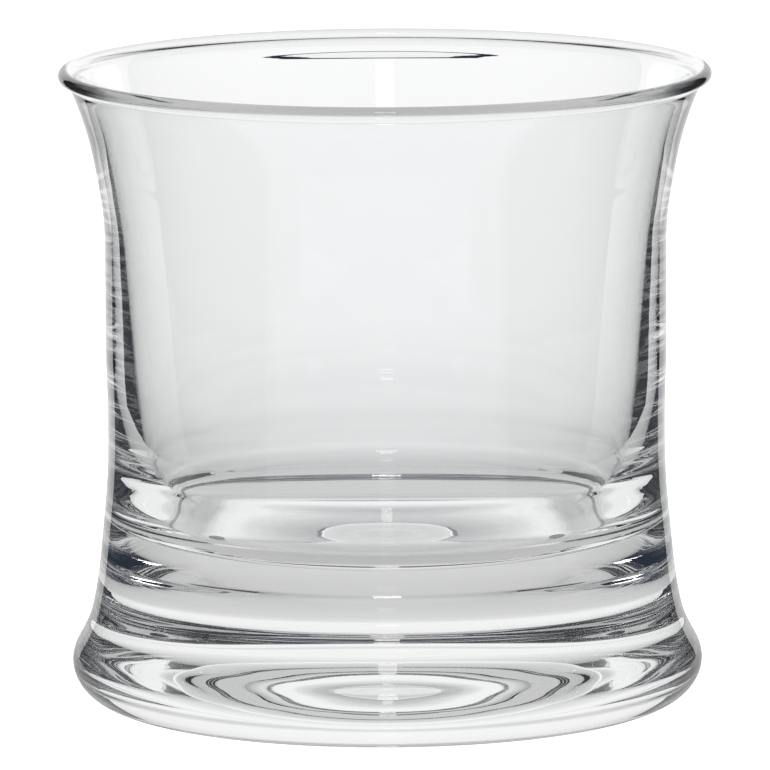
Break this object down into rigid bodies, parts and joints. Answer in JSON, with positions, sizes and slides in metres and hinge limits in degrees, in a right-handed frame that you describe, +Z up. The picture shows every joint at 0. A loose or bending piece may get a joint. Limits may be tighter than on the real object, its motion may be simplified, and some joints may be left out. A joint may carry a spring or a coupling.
{
  "type": "whiskey tumbler",
  "caption": "Low flared glass tumbler with a beaded lip, a bowl with a wide, shallowly dished floor, a very thick clear base with a domed hollow beneath, and a rounded heel.",
  "frame": {"origin": "on the axis, in the plane that the foot stands on", "axes": "+Z up along the axis of revolution; +X and +Y lie in the standing plane, and the tumbler is the same all round"},
  "size_m": [0.0916, 0.0916, 0.09],
  "materials": {
    "clear_glass": "fire-polished, clear, very slightly cool in the thick base"
  },
  "bodies": {
    "root": {"tumbler": "clear_glass"}
  },
  "joints": []
}
